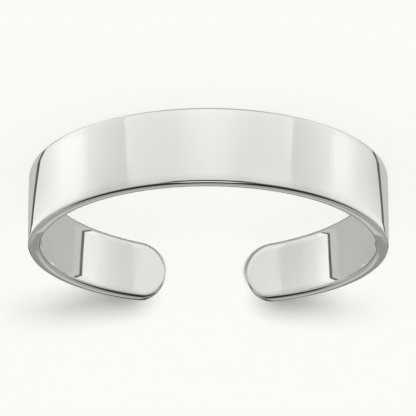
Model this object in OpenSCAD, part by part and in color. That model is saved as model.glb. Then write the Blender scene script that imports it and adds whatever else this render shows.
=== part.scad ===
// Open cuff toe ring, one piece of polished silver strip bent round into a circle.
// It lies on its side: the ring's axis is Z, the floor is Z = 0, the front of
// the band is at -Y and the opening between the two round tips is at +Y.
// All sizes are in millimetres.

/* [Ring] */
// Width of the ring across the round, outside wall to outside wall
outer_d = 16.7; // [14:0.1:22]
// Thickness of the strip
strip_t = 0.6; // [0.4:0.05:1]
// Opening between the two tips, straight across at the outside wall
gap_w = 4.1; // [2:0.1:7]

/* [Band] */
// Width of the strip over the front of the ring
band_w = 3.65; // [2.8:0.05:6]
// Width of the strip where the round tips begin, each tip is a half circle of this width
tip_w = 2.8; // [1.6:0.05:2.8]
// Turn round the ring from the front middle to where the strip begins to narrow
narrow_at = 74; // [10:1:100]

/* [Polished edges] */
// Radius of the rounding between the edge of the strip and its outside wall
outer_round = 0.14; // [0.05:0.01:0.18]
// Radius of the rounding between the edge of the strip and its inside wall
inner_round = 0.16; // [0.05:0.01:0.18]

/* [Hidden] */
$fn = 120;
outer_r = outer_d / 2;
inner_r = outer_r - strip_t;

// Lengths along the strip, measured on the outside wall from the front middle.
gap_half = asin(gap_w / outer_d);
deg_mm = 180 / (PI * outer_r);
tip_r = tip_w / 2;
strip_end = (180 - gap_half) / deg_mm;
tip_mid = strip_end - tip_r;
narrow_mm = narrow_at / deg_mm;

// The straight narrowing edge leaves the front's corner and meets the round tip
// as a tangent. tip_turn is the direction of that edge's normal.
narrow_run = tip_mid - narrow_mm;
narrow_reach = sqrt(narrow_run * narrow_run + band_w * band_w / 4);
tip_turn = 180 - atan2(band_w / 2, narrow_run) - acos(tip_r / narrow_reach);

// The roundings stop short of the wall's own direction, so each one meets the
// wall in a clean line. past_wall is how far they then run on past it.
round_turn = 70;
past_wall = strip_t * 0.3;
round_steps = 4;

// Finest turn of one facet along the strip and round a tip.
strip_step = 4;
tip_step = 7.5;

// How far the tips reach back, which centres the ring over the origin.
wall_inset = outer_round * (1 - cos(round_turn));
back_reach = outer_r * cos(gap_half + wall_inset * deg_mm);
centre_y = (outer_r - back_reach) / 2;

// Depth below the outside wall and inset from the strip's outline, over one
// rounding from near the wall to the flat of the strip's edge.
function round_at(r, a) = [r * (sin(round_turn) - sin(a)), r * (1 - cos(a))];
function round_arc(r) =
    [for (i = [1 : round_steps]) round_at(r, round_turn * (1 - i / round_steps))];

// The rounding's last facet goes straight on through the wall and ends past it.
function past_point(r) =
    let (
        on_wall = round_at(r, round_turn),
        before = round_arc(r)[0]
    )
        on_wall + (on_wall - before) * past_wall / before[0];
function mirrored(list) = [
    for (i = [len(list) - 1 : -1 : 0]) [strip_t - list[i][0], list[i][1]]
];
edge_profile = concat(
    [past_point(outer_round)],
    round_arc(outer_round),
    mirrored(round_arc(inner_round)),
    mirrored([past_point(inner_round)])
);

// The upper half of the flat strip's outline from its front middle to one tip:
// place along the strip, height, and direction of the outward normal.
front_steps = ceil(narrow_at / strip_step);
narrow_steps = ceil(narrow_run * deg_mm / strip_step);
tip_steps = ceil(tip_turn / tip_step);
narrow_end = tip_mid + tip_r * cos(tip_turn);
half_outline = concat(
    [for (i = [0 : front_steps - 1]) [narrow_mm * i / front_steps, band_w / 2, 90]],
    [for (i = [0 : narrow_steps - 1])
        let (f = i / narrow_steps)
            [
                narrow_mm + (narrow_end - narrow_mm) * f,
                band_w / 2 + (tip_r * sin(tip_turn) - band_w / 2) * f,
                tip_turn
            ]],
    [for (i = [0 : tip_steps])
        let (a = tip_turn * (1 - i / tip_steps))
            [tip_mid + tip_r * cos(a), tip_r * sin(a), a]]
);

// The whole outline as one closed loop: upper edge from the left tip to the
// right tip, then back along the lower edge.
half_n = len(half_outline);
upper_outline = concat(
    [for (i = [half_n - 1 : -1 : 1])
        [-half_outline[i][0], half_outline[i][1], 180 - half_outline[i][2]]],
    half_outline
);
upper_n = len(upper_outline);
outline = concat(
    upper_outline,
    [for (i = [upper_n - 2 : -1 : 1])
        [upper_outline[i][0], -upper_outline[i][1], -upper_outline[i][2]]]
);

// A place on the flat strip, bent round the ring's axis.
function bent(s, z, depth) = [
    (outer_r - depth) * sin(s * deg_mm),
    -(outer_r - depth) * cos(s * deg_mm),
    z
];

// The strip's edges and round tips as a solid a little thicker than the strip.
module edge_form() {
    loop_n = len(outline);
    rows = len(edge_profile);
    points = [
        for (p = outline)
            for (e = edge_profile)
                bent(p[0] - e[1] * cos(p[2]), p[1] - e[1] * sin(p[2]), e[0])
    ];
    rim = [
        for (i = [0 : loop_n - 1])
            for (k = [0 : rows - 2])
                let (
                    a = i * rows + k,
                    b = ((i + 1) % loop_n) * rows + k
                )
                    each [[a, b, a + 1], [b, b + 1, a + 1]]
    ];
    outer_cap = [
        for (j = [0 : upper_n - 2])
            let (
                top_a = j * rows,
                top_b = (j + 1) * rows,
                low_a = ((loop_n - j) % loop_n) * rows,
                low_b = (loop_n - j - 1) * rows
            )
                j == 0 ? [top_a, low_b, top_b]
                : j == upper_n - 2 ? [top_a, low_a, top_b]
                : [top_a, low_a, low_b, top_b]
    ];
    inner_cap = [
        for (f = outer_cap) [for (i = [len(f) - 1 : -1 : 0]) f[i] + rows - 1]
    ];
    polyhedron(points = points, faces = concat(rim, outer_cap, inner_cap), convexity = 6);
}

// The round tube that gives the strip its true outside and inside walls. It is
// turned so that its starting line falls in the gap.
module wall_tube() {
    rotate([0, 0, 90])
        difference() {
            cylinder(r = outer_r, h = band_w * 1.2, center = true);
            cylinder(r = inner_r, h = band_w * 1.4, center = true);
        }
}

module band() {
    color([0.86, 0.86, 0.85])
        translate([0, centre_y, band_w / 2])
            intersection() {
                wall_tube();
                edge_form();
            }
}

band();
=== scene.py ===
import math

import bmesh
import bpy
from mathutils import Matrix, Vector


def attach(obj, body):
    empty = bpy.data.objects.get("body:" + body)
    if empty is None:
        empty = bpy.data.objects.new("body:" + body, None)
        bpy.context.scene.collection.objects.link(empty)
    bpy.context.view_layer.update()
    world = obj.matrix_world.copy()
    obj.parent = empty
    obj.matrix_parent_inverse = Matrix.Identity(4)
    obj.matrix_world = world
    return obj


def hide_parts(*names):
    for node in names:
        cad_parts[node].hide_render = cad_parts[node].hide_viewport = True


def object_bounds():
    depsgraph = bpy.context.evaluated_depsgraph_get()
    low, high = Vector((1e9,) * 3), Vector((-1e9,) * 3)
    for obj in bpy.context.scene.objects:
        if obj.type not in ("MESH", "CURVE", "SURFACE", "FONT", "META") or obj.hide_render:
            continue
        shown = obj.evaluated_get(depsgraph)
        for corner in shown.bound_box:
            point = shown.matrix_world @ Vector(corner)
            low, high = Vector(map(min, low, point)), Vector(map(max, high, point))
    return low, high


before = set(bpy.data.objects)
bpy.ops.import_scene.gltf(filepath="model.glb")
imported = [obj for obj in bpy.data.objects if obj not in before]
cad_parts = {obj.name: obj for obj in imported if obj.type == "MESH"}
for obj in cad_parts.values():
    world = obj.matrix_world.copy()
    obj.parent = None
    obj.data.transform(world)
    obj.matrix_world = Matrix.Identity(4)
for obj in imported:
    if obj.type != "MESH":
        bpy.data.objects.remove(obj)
cad_low, cad_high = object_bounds()

# The band: one strip of sterling silver, cut flat with two round tips, its
# edges rounded over, then bent round a mandrel into an open ring and polished
# to a mirror. It is modelled the same way, flat first and bent last.
mm = 0.001
ring_r = (cad_high.x - cad_low.x) / 2
band_w = cad_high.z - cad_low.z
strip_t = 0.6 * mm
gap_w = 4.1 * mm
tip_r = 1.4 * mm
narrow_at = math.radians(74)
outer_round = 0.14 * mm
inner_round = 0.16 * mm
crown = 0.012 * mm

# Lengths along the flat strip, from the front middle.
strip_end = ring_r * (math.pi - math.asin(gap_w / (2 * ring_r)))
tip_mid = strip_end - tip_r
narrow_from = ring_r * narrow_at
narrow_run = tip_mid - narrow_from

# How finely the strip is divided, how near two places count as one, and how sharp
# an edge has to be for rounding over.
front_columns = 84
narrow_columns = 58
tip_columns = 32
rows = 8
round_rows = 6
near = 0.0001 * mm
sharp_turn = math.radians(60)


def pick(piece, test):
    """In edit mode, selects the edges of the piece for which the test holds, and nothing else."""
    mesh = bmesh.from_edit_mesh(piece.data)
    bpy.ops.mesh.select_all(action="DESELECT")
    for edge in mesh.edges:
        edge.select_set(test(edge))
    bmesh.update_edit_mesh(piece.data)


def lies_at(edge, x):
    """True where both ends of the edge are that far along the strip."""
    return all(abs(point.co.x - x) < near for point in edge.verts)


def lies_off_middle(edge, height):
    """True where both ends of the edge are that far above or below the strip's middle line."""
    return all(abs(abs(point.co.z) - height) < near for point in edge.verts)


def runs_down_end(edge):
    """True on the uncut lines that run the whole way from the front to where a tip begins."""
    return abs(edge.verts[0].co.x - edge.verts[1].co.x) > 0.9 * narrow_run


# The front of the strip: a grid standing in XZ, its face towards -Y.
bpy.ops.object.select_all(action="DESELECT")
bpy.ops.mesh.primitive_grid_add(
    x_subdivisions=front_columns, y_subdivisions=rows, size=1, rotation=(math.pi / 2, 0, 0)
)
band = bpy.context.object
band.name = "band_silver"
bpy.ops.object.transform_apply(location=True, rotation=True, scale=True)
bpy.ops.object.mode_set(mode="EDIT")
bpy.ops.mesh.select_mode(type="EDGE")
bpy.ops.mesh.select_all(action="SELECT")
bpy.ops.transform.resize(value=(2 * narrow_from, 1, band_w))

# Polishing rolls the face off towards its two edges, row by row.
for row in range(1, rows // 2 + 1):
    towards_edge = row / (rows / 2)
    pick(band, lambda edge: lies_off_middle(edge, towards_edge * band_w / 2))
    bpy.ops.transform.translate(value=(0, crown * towards_edge * towards_edge, 0))

# Each end is drawn out to where its tip begins, made narrower and cut into columns,
# and the round tip is the upper half of the end line spun down over the lower half.
for side in (-1, 1):
    pick(band, lambda edge: lies_at(edge, side * narrow_from))
    bpy.ops.mesh.extrude_region_move(TRANSFORM_OT_translate={"value": (side * narrow_run, 0, 0)})
    bpy.ops.transform.resize(
        value=(1, 1, 2 * tip_r / band_w), center_override=(side * tip_mid, 0, 0)
    )
    pick(band, runs_down_end)
    bpy.ops.mesh.subdivide(number_cuts=narrow_columns - 1)
    pick(
        band,
        lambda edge: lies_at(edge, side * tip_mid) and min(p.co.z for p in edge.verts) > -near,
    )
    bpy.ops.mesh.spin(
        steps=tip_columns, angle=math.pi * side, center=(side * tip_mid, 0, 0), axis=(0, -1, 0)
    )
bpy.ops.mesh.select_all(action="SELECT")
bpy.ops.mesh.remove_doubles(threshold=2 * near)
bpy.ops.mesh.normals_make_consistent(inside=False)
bpy.ops.object.mode_set(mode="OBJECT")

# The sheet gets its thickness towards +Y, which bending makes the inside.
thickness = band.modifiers.new("thickness", "SOLIDIFY")
thickness.thickness = strip_t
thickness.offset = -1
bpy.ops.object.modifier_apply(modifier=thickness.name)


def rim_edge(edge, inside):
    """True on the sharp edge all round the strip, on its inside or its outside face."""
    return edge.calc_face_angle(0) > sharp_turn and inside == all(
        point.co.y > strip_t / 2 for point in edge.verts
    )


# Both edges are rounded over, the inside one a little more, for comfort.
bpy.ops.object.mode_set(mode="EDIT")
for inside, radius in ((False, outer_round), (True, inner_round)):
    pick(band, lambda edge: rim_edge(edge, inside))
    bpy.ops.mesh.bevel(offset=radius, segments=round_rows, profile=0.5, affect="EDGES")
bpy.ops.object.mode_set(mode="OBJECT")

# Every point keeps its place on the flat strip, and how far it is turned off the
# two faces, so that marks made before bending can follow the strip round.
flat_place = band.data.attributes.new("flat_place", "FLOAT_VECTOR", "POINT")
rim = band.data.attributes.new("rim", "FLOAT", "POINT")
for point in band.data.vertices:
    flat_place.data[point.index].vector = point.co
    rim.data[point.index].value = 1 - abs(point.normal.y)

# The strip is bent into a circle, its front middle staying where it is, and set
# down on the floor with the front at -Y and the gap at +Y.
bend = band.modifiers.new("bend", "SIMPLE_DEFORM")
bend.deform_method = "BEND"
bend.deform_axis = "Z"
bend.angle = 2 * strip_end / ring_r
bpy.ops.object.modifier_apply(modifier=bend.name)
bpy.ops.object.mode_set(mode="EDIT")
bpy.ops.mesh.select_all(action="SELECT")
bpy.ops.transform.translate(value=(0, cad_low.y, band_w / 2))
bpy.ops.mesh.normals_make_consistent(inside=False)
bpy.ops.object.mode_set(mode="OBJECT")
bpy.ops.object.shade_smooth()

# Mirror-polished silver: a slow unevenness left by bending and buffing, file
# marks round the edges, hair scratches from wear, and a polish that is a little
# duller in places.
silver = bpy.data.materials.new("polished_silver")
silver.use_nodes = True
tree = silver.node_tree
shader = tree.nodes["Principled BSDF"]
shader.inputs["Metallic"].default_value = 1.0
shader.inputs["Base Color"].default_value = (0.955, 0.952, 0.945, 1)


def feed(tree, socket, value):
    """Links a node's output to a socket, or sets the socket to a plain value."""
    if isinstance(value, bpy.types.NodeSocket):
        tree.links.new(value, socket)
    elif value is not None:
        socket.default_value = value


def carried(tree, name, output):
    """What every point of the strip has kept under that name."""
    node = tree.nodes.new("ShaderNodeAttribute")
    node.attribute_name = name
    return node.outputs[output]


def stretch(tree, where, scale, turned=(0, 0, 0)):
    """Places drawn out or turned, so that the marks on them come out long or slanted."""
    node = tree.nodes.new("ShaderNodeMapping")
    node.inputs["Rotation"].default_value = turned
    node.inputs["Scale"].default_value = scale
    tree.links.new(where, node.inputs["Vector"])
    return node.outputs["Vector"]


def marks(tree, where, scale, detail):
    """Soft random marks: how strong they are at each place, from 0 to 1."""
    node = tree.nodes.new("ShaderNodeTexNoise")
    node.inputs["Scale"].default_value = scale
    node.inputs["Detail"].default_value = detail
    tree.links.new(where, node.inputs["Vector"])
    return node.outputs["Fac"]


def rescale(tree, value, before, after):
    """Takes a value from one range to another, and holds it between the ends."""
    node = tree.nodes.new("ShaderNodeMapRange")
    node.inputs["From Min"].default_value = before[0]
    node.inputs["From Max"].default_value = before[1]
    node.inputs["To Min"].default_value = after[0]
    node.inputs["To Max"].default_value = after[1]
    tree.links.new(value, node.inputs["Value"])
    return node.outputs["Result"]


def relief(tree, height, strength, depth, over=None):
    """Shallow relief in the surface, alone or over another relief."""
    node = tree.nodes.new("ShaderNodeBump")
    node.inputs["Distance"].default_value = depth
    feed(tree, node.inputs["Height"], height)
    feed(tree, node.inputs["Strength"], strength)
    feed(tree, node.inputs["Normal"], over)
    return node.outputs["Normal"]


def calculate(tree, operation, a, b=None):
    """One step of arithmetic on sockets or plain numbers."""
    node = tree.nodes.new("ShaderNodeMath")
    node.operation = operation
    feed(tree, node.inputs[0], a)
    feed(tree, node.inputs[1], b)
    return node.outputs[0]


on_ring = tree.nodes.new("ShaderNodeTexCoord").outputs["Object"]
on_strip = carried(tree, "flat_place", "Vector")

haze = rescale(tree, marks(tree, on_ring, scale=700, detail=4), (0.3, 0.7), (0.02, 0.05))
hair_place = stretch(tree, on_strip, scale=(380, 2000, 16000), turned=(0, 0.12, 0))
hair = rescale(tree, marks(tree, hair_place, scale=1, detail=3), (0.62, 0.72), (0, 0.1))
feed(tree, shader.inputs["Roughness"], calculate(tree, "ADD", haze, hair))

sway = relief(tree, marks(tree, on_ring, scale=260, detail=1), strength=1, depth=0.01 * mm)
file_place = stretch(tree, on_strip, scale=(450, 5000, 5000))
file_marks = marks(tree, file_place, scale=1, detail=2)
on_rim = carried(tree, "rim", "Fac")
filed = relief(tree, file_marks, strength=on_rim, depth=0.02 * mm, over=sway)
feed(tree, shader.inputs["Normal"], filed)
band.data.materials.append(silver)

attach(band, "root")
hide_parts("band")

# The floor: a wide sheet of matt off-white board, lit from all round. The metal
# doesn't see it, because the studio below stands for what it would show.
floor_w = 3000 * mm
bpy.ops.object.select_all(action="DESELECT")
bpy.ops.mesh.primitive_plane_add(size=floor_w)
floor = bpy.context.object
floor.name = "floor"
floor.visible_glossy = False
board = bpy.data.materials.new("white_board")
board.use_nodes = True
board_shader = board.node_tree.nodes["Principled BSDF"]
board_shader.inputs["Base Color"].default_value = (0.85, 0.844, 0.822, 1)
board_shader.inputs["Roughness"].default_value = 1.0
board_shader.inputs["Specular IOR Level"].default_value = 0.0
floor.data.materials.append(board)

# The studio all round: soft white panels. The floor gets even light from it, and
# the metal shows its panels, going round from the front (0) to behind (1), and
# going up from straight down (0) to straight up (1).
studio = bpy.data.worlds.new("studio")
bpy.context.scene.world = studio
studio.use_nodes = True
tree = studio.node_tree
tree.nodes.clear()
white = (1, 0.992, 0.958, 1)


def parts_of(tree, place):
    """The X, Y and Z of a place or a direction, by name."""
    node = tree.nodes.new("ShaderNodeSeparateXYZ")
    tree.links.new(place, node.inputs["Vector"])
    return node.outputs


def panels(tree, position, stops):
    """A row of grey panels: each stop is a position and how bright the row is there."""
    ramp = tree.nodes.new("ShaderNodeValToRGB")
    while len(ramp.color_ramp.elements) < len(stops):
        ramp.color_ramp.elements.new(1)
    for element, (at, level) in zip(ramp.color_ramp.elements, stops):
        element.position = at
        element.color = (level, level, level, 1)
    tree.links.new(position, ramp.inputs["Fac"])
    return ramp.outputs["Color"]


def blend(tree, kind, factor, a, b):
    """Mixes or multiplies two rows of panels, or a row and a colour."""
    node = tree.nodes.new("ShaderNodeMix")
    node.data_type = "RGBA"
    node.blend_type = kind
    feed(tree, node.inputs["Factor"], factor)
    feed(tree, node.inputs["A"], a)
    feed(tree, node.inputs["B"], b)
    return node.outputs["Result"]


def by_degrees(stops):
    """Stops whose positions are written in degrees round from the front."""
    return [(degrees / 180, level) for degrees, level in stops]


# The camera is rolled over, so the picture's left is at +X.
facing = parts_of(tree, tree.nodes.new("ShaderNodeTexCoord").outputs["Generated"])
on_left = calculate(tree, "GREATER_THAN", facing["X"], 0)
towards_front = calculate(tree, "MULTIPLY", facing["Y"], -1)
turn_angle = calculate(tree, "ARCTAN2", calculate(tree, "ABSOLUTE", facing["X"]), towards_front)
turn = calculate(tree, "DIVIDE", turn_angle, math.pi)
climb_angle = calculate(tree, "ARCSINE", facing["Z"])
climb = calculate(tree, "ADD", calculate(tree, "DIVIDE", climb_angle, math.pi), 0.5)

# The lower panels, which the outside of the front shows. They lean to the sides as
# they go down. A little higher up are panels for the inside of the ends.
front_panels = by_degrees([(0, 0.81), (9, 0.785), (18, 0.74), (28, 0.717), (46, 0.74)])
left_panels = by_degrees(
    [
        (53.2, 0.765), (54.4, 0.64), (66, 0.68), (81, 0.76), (89, 0.915),
        (99, 0.94), (108, 0.94), (122, 0.81), (140, 0.71), (180, 0.6),
    ]
)
right_panels = by_degrees(
    [
        (51.6, 0.765), (53.4, 0.64), (66, 0.68), (81, 0.765), (87, 0.89),
        (97, 0.89), (110, 0.755), (116, 0.72), (137, 0.59), (180, 0.5),
    ]
)
ends_left = by_degrees(
    [(36, 0.72), (48.6, 0.735), (54, 0.625), (68.4, 0.635), (82.8, 0.76), (93.6, 0.91)]
)
ends_right = by_degrees(
    [(46.8, 0.77), (55.8, 0.665), (61.2, 0.655), (72, 0.71), (82.8, 0.825), (93.6, 0.845)]
)
low_panels = [
    (0.0, 0.55), (0.12, 0.68), (0.2, 1.04), (0.3, 1.1), (0.364, 1.045), (0.37, 1.012),
    (0.378, 0.993), (0.38, 0.975), (0.386, 0.972), (0.41, 0.88), (0.43, 0.82),
]
side_shade = [(0.3, 0.87), (0.355, 0.92), (0.3668, 1)]
lean_most = 0.02
lean_back = panels(tree, climb, [(0.357, 0), (0.377, lean_most)])
leaning_turn = calculate(tree, "ADD", turn, calculate(tree, "SUBTRACT", lean_back, lean_most))
front_round = blend(
    tree,
    "MIX",
    on_left,
    panels(tree, leaning_turn, front_panels + right_panels),
    panels(tree, leaning_turn, front_panels + left_panels),
)
ends_round = blend(tree, "MIX", on_left, panels(tree, turn, ends_right), panels(tree, turn, ends_left))
past_front = panels(tree, turn, by_degrees([(21.6, 0), (30.6, 1)]))
on_ends = calculate(tree, "MULTIPLY", panels(tree, climb, [(0.3783, 0), (0.3797, 1)]), past_front)
low = blend(tree, "MIX", on_ends, front_round, ends_round)
low = blend(tree, "MULTIPLY", 1.0, low, panels(tree, climb, low_panels))
at_sides = panels(tree, turn, by_degrees([(75.6, 0), (93.6, 1)]))
side_dim = blend(tree, "MIX", at_sides, (1, 1, 1, 1), panels(tree, climb, side_shade))
low = blend(tree, "MULTIPLY", 1.0, low, side_dim)

# The upper panels, which the strip's upper edge shows all the way round.
front_high = [
    (0.44, 0.6), (0.48, 0.35), (0.51, 0.01), (0.68, 0.01),
    (0.73, 0.8), (0.87, 0.8), (0.92, 0.02), (1.0, 0.01),
]
left_high = [(0.44, 0.6), (0.6, 0.5), (0.67, 0.35), (0.74, 0.03), (1.0, 0.02)]
right_high = [(0.44, 0.6), (0.55, 0.5), (0.6, 0.35), (0.655, 0.03), (1.0, 0.02)]
back_stripes = [
    (0.5, 0.3), (0.575, 0.3), (0.588, 0.27), (0.598, 0.28),
    (0.606, 0.53), (0.62, 0.52), (0.63, 0.3), (0.645, 0.33),
]
back_plain = [(0.5, 0.33), (0.645, 0.35)]
left_over = [(0.69, 0.36), (0.73, 0.34), (0.77, 0.04), (1.0, 0.02)]
right_over = [(0.69, 0.36), (0.75, 0.36), (0.8, 0.06), (1.0, 0.02)]
to_side = panels(tree, turn, by_degrees([(19.8, 0), (32.4, 1)]))
to_back = panels(tree, turn, by_degrees([(111.6, 0), (135, 1)]))
to_middle = panels(tree, turn, by_degrees([(167.4, 0), (175.5, 1)]))


def high_on(side_panels, over_panels):
    """The upper panels on one side, from the front, past the side, to the back's middle."""
    front = panels(tree, climb, front_high)
    in_front = blend(tree, "MIX", to_side, front, panels(tree, climb, side_panels))
    plain = panels(tree, climb, back_plain + over_panels)
    striped = panels(tree, climb, back_stripes + over_panels)
    behind = blend(tree, "MIX", to_middle, plain, striped)
    return blend(tree, "MIX", to_back, in_front, behind)


high = blend(tree, "MIX", on_left, high_on(right_high, right_over), high_on(left_high, left_over))
seen = blend(tree, "MIX", panels(tree, climb, [(0.42, 0), (0.45, 1)]), low, high)

# Rays from the metal see the panels. All others, and those that have met the floor
# on their way, see one even white.
in_metal = tree.nodes.new("ShaderNodeBackground")
in_metal.inputs["Strength"].default_value = 1.065
feed(tree, in_metal.inputs["Color"], blend(tree, "MULTIPLY", 1.0, seen, white))
around = tree.nodes.new("ShaderNodeBackground")
around.inputs["Color"].default_value = white
around.inputs["Strength"].default_value = 0.36
rays = tree.nodes.new("ShaderNodeLightPath")
from_floor = calculate(tree, "MINIMUM", rays.outputs["Diffuse Depth"], 1)
which = tree.nodes.new("ShaderNodeMixShader")
feed(tree, which.inputs["Fac"], calculate(tree, "SUBTRACT", rays.outputs["Is Glossy Ray"], from_floor))
tree.links.new(around.outputs["Background"], which.inputs[1])
tree.links.new(in_metal.outputs["Background"], which.inputs[2])
output = tree.nodes.new("ShaderNodeOutputWorld")
tree.links.new(which.outputs["Shader"], output.inputs["Surface"])

# A grey card leans behind the ring and glows, though it is no lamp: painted light and
# shade that the inside of the band and its far sides show as a painted reflection, standing
# for the floor near the ring and its shade. Two darker glowing strips, the tape, run down
# both its borders. Only the metal sees it, and only its face, so it stays out of the other views.
card_top = 4.8 * mm
card_fold = 0.6 * mm
card_foot = -14 * mm

# Each grey is a height in millimetres and how brightly the card or tape glows there, as painted light.
card_glow_levels = {
    "card_glow": ((0, 0.5), (1.5, 0.45), (3.0, 0.35), (3.3, 0.06), (4.4, 0.06), (4.8, 0.34)),
    "card_dim_glow_left": ((0, 0.1), (4.8, 0.1)),
    "card_dim_glow_right": ((0, 0.12), (4.8, 0.12)),
}
side_from = 9 * mm
side_to = 12.5 * mm
side_gain = 1.13


def mixed_surface(tree, share, first, second):
    """Ends a material in two finishes, with the share of the second one."""
    either = tree.nodes.new("ShaderNodeMixShader")
    done = tree.nodes.new("ShaderNodeOutputMaterial")
    tree.links.new(share, either.inputs["Fac"])
    tree.links.new(first, either.inputs[1])
    tree.links.new(second, either.inputs[2])
    tree.links.new(either.outputs["Shader"], done.inputs["Surface"])


def card_paint(name, glow_levels):
    """Painted light in stripes by height, glowing a little brighter far out, and clear from the card's
    back.
    """
    paint = bpy.data.materials.new(name)
    paint.use_nodes = True
    tree = paint.node_tree
    tree.nodes.clear()
    place = parts_of(tree, tree.nodes.new("ShaderNodeTexCoord").outputs["Object"])
    height = rescale(tree, place["Z"], (0, card_top), (0, 1))
    stripes = panels(tree, height, [(z * mm / card_top, level) for z, level in glow_levels])
    far_out = calculate(tree, "ABSOLUTE", place["X"])
    gain = rescale(tree, far_out, (side_from, side_to), (1, side_gain))
    lit = tree.nodes.new("ShaderNodeEmission")
    lit.inputs["Color"].default_value = white
    feed(tree, lit.inputs["Strength"], calculate(tree, "MULTIPLY", stripes, gain))
    clear = tree.nodes.new("ShaderNodeBsdfTransparent")
    behind = tree.nodes.new("ShaderNodeNewGeometry").outputs["Backfacing"]
    mixed_surface(tree, behind, lit.outputs["Emission"], clear.outputs["BSDF"])
    return paint


def only_in_metal(piece):
    """The piece shows in the metal alone, and throws no shadow."""
    piece.visible_camera = False
    piece.visible_diffuse = False
    piece.visible_shadow = False


# The middle of the darker glowing strip, the tape, on each side: where it is at the floor,
# in x and y, and how far it moves for each unit of height. Above the fold the card stands upright.
dim_glow_foot = {1: Vector((11.76, 10.27)) * mm, -1: Vector((-14.55, 13.35)) * mm}
dim_glow_lean = {1: Vector((-0.893, 0.341)), -1: Vector((0.648, 0.505))}
dim_glow_to_border = {1: Vector((0.6, -0.3)) * mm, -1: Vector((-0.7, -0.35)) * mm}

# The card starts in XZ as three rows of points, at 1 and 2 units to each side, and
# these are then moved to the inner and the outer borders of the darker glowing strips.
bpy.ops.object.select_all(action="DESELECT")
bpy.ops.mesh.primitive_grid_add(
    x_subdivisions=1, y_subdivisions=2, size=2, rotation=(math.pi / 2, 0, 0)
)
card = bpy.context.object
card.name = "glowing_grey_card"
bpy.ops.object.transform_apply(location=True, rotation=True, scale=True)
bpy.ops.object.mode_set(mode="EDIT")
bpy.ops.mesh.select_mode(type="EDGE")
for side in (1, -1):
    pick(card, lambda edge: lies_at(edge, side))
    bpy.ops.mesh.extrude_region_move(TRANSFORM_OT_translate={"value": (side, 0, 0)})
bpy.ops.mesh.select_mode(type="VERT")
row_heights = {1: card_top, 0: card_fold, -1: card_foot}
card_mesh = bmesh.from_edit_mesh(card.data)
for point in card_mesh.verts:
    side = 1 if point.co.x > 0 else -1
    way = 1 if round(abs(point.co.x)) == 2 else -1
    z = row_heights[round(point.co.z)]
    dim_glow_at = dim_glow_foot[side] + dim_glow_lean[side] * min(z, card_fold)
    border = dim_glow_at + way * dim_glow_to_border[side]
    point.co = (border.x, border.y, z)
bmesh.update_edit_mesh(card.data)
bpy.ops.mesh.select_all(action="SELECT")
bpy.ops.mesh.normals_make_consistent(inside=True)
bpy.ops.object.mode_set(mode="OBJECT")

# The middle faces glow as card, and all faces further out glow darker as tape.
dim_glow_from = 8 * mm
for name, glow_levels in card_glow_levels.items():
    card.data.materials.append(card_paint(name, glow_levels))
for face in card.data.polygons:
    if abs(face.center.x) > dim_glow_from:
        face.material_index = 1 if face.center.x > 0 else 2
only_in_metal(card)

# A small grey tab stands under the gap, below the floor, and glows, though it is no lamp:
# it puts a painted grey reflection where the ends would otherwise show each other a white spot.
tab_w = 1 * mm
tab_place = Vector((0, 7.4, -0.53)) * mm
bpy.ops.object.select_all(action="DESELECT")
bpy.ops.mesh.primitive_plane_add(size=tab_w, location=tab_place, rotation=(0, math.pi / 2, 0))
tab = bpy.context.object
tab.name = "glowing_grey_tab"
tab_glow = bpy.data.materials.new("tab_glow")
tab_glow.use_nodes = True
tree = tab_glow.node_tree
tree.nodes.clear()
lit = tree.nodes.new("ShaderNodeEmission")
lit.inputs["Color"].default_value = white
lit.inputs["Strength"].default_value = 0.52
done = tree.nodes.new("ShaderNodeOutputMaterial")
tree.links.new(lit.outputs["Emission"], done.inputs["Surface"])
tab.data.materials.append(tab_glow)
only_in_metal(tab)

# The key light: a low sun from the front, with slightly soft shadows.
bpy.ops.object.select_all(action="DESELECT")
sun_rise = math.radians(24.5)
bpy.ops.object.light_add(type="SUN", rotation=(math.pi / 2 - sun_rise, 0, 0))
key = bpy.context.object
key.name = "key_light"
key.data.energy = 5.9
key.data.angle = math.radians(3)
key.visible_glossy = False

# Two small flags of gauze hang in the key light, out of every view. They shade the
# floor outside the ends. Each outline goes round from the tip's side, in millimetres.
flag_height = 14 * mm
flag_ahead = 17.9 * mm
flag_outlines = {
    "flag_left": (
        (2.75, 2.6), (3.4, 0.7), (4.7, -0.2), (5.8, 1.3), (6.6, 2.5), (7.6, 2.9), (8.7, 3.3),
        (9.9, 3.8), (10.2, 5.6), (9.4, 6.9), (8.3, 6.8), (7.21, 6.4), (6.45, 6.0),
        (5.68, 5.56), (4.67, 5.2), (3.6, 4.7), (3.0, 3.9),
    ),
    "flag_right": (
        (-2.8, 2.6), (-3.4, 0.6), (-4.82, 0.2), (-6.1, 2.2), (-7.3, 3.0), (-8.8, 3.3),
        (-9.3, 4.8), (-8.4, 5.8), (-6.9, 5.7), (-4.94, 5.2), (-3.7, 4.9), (-3.0, 4.0),
    ),
}

# The weave opens with the distance from the ring's middle: each stop is how far out
# it is, as a part of the weave's reach, and how much of the light it holds back.
weave_reach = 10 * mm
weaves = {
    "flag_left": ((0.34, 1), (0.56, 0.62), (0.68, 0.5), (0.78, 0.3), (0.9, 0.16), (1, 0.1)),
    "flag_right": ((0.34, 1), (0.56, 0.62), (0.66, 0.4), (0.74, 0.18), (0.9, 0.07)),
}


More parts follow.
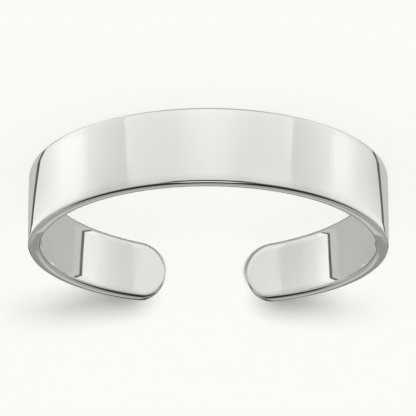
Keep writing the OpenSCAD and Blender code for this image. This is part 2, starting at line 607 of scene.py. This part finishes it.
def gauze(name, weave):
    """Open cloth that lets more light through the further out it is."""
    cloth = bpy.data.materials.new(name)
    cloth.use_nodes = True
    tree = cloth.node_tree
    tree.nodes.clear()
    place = parts_of(tree, tree.nodes.new("ShaderNodeTexCoord").outputs["Object"])
    far_out = rescale(tree, calculate(tree, "ABSOLUTE", place["X"]), (0, weave_reach), (0, 1))
    thread = tree.nodes.new("ShaderNodeBsdfDiffuse")
    hole = tree.nodes.new("ShaderNodeBsdfTransparent")
    mixed_surface(tree, panels(tree, far_out, weave), hole.outputs["BSDF"], thread.outputs["BSDF"])
    return cloth


for name, outline in flag_outlines.items():
    bpy.ops.object.select_all(action="DESELECT")
    bpy.ops.mesh.primitive_circle_add(vertices=len(outline), fill_type="NGON")
    flag = bpy.context.object
    flag.name = name
    for point, (x, y) in zip(flag.data.vertices, outline):
        point.co = (x * mm, y * mm - flag_ahead, flag_height)
    flag.data.materials.append(gauze(name, weaves[name]))
    flag.visible_camera = False
    flag.visible_diffuse = False
    flag.visible_glossy = False

# The camera stands at the photograph's angle, rolled over, because the photograph
# shows the ring the other way up. It is aimed a little off the ring's middle, as the
# photograph is framed.
ring_mid = Vector((0, cad_low.y + ring_r, band_w / 2))
camera_turn = math.radians(0.9)
camera_rise = math.radians(22.11)
camera_lean = math.radians(0.15)
camera_radii = 23
aim_across = -0.0172 * mm
aim_up = 0.3154 * mm
picture_w = 416
ring_r_in_picture = 180
away = Vector(
    (
        math.sin(camera_turn) * math.cos(camera_rise),
        -math.cos(camera_turn) * math.cos(camera_rise),
        math.sin(camera_rise),
    )
)
lens = bpy.data.cameras.new("camera")
lens.sensor_width = 36
lens.lens = lens.sensor_width * ring_r_in_picture * camera_radii / picture_w
lens.clip_start = 1 * mm
camera = bpy.data.objects.new("camera", lens)
bpy.context.scene.collection.objects.link(camera)
rolled = away.to_track_quat("Z", "Y").to_matrix() @ Matrix.Rotation(math.pi + camera_lean, 3, "Z")
camera.rotation_euler = rolled.to_euler()
camera.location = ring_mid + rolled @ Vector((aim_across, aim_up, 0)) + away * camera_radii * ring_r
bpy.context.scene.camera = camera
bpy.context.scene.view_settings.view_transform = "Standard"
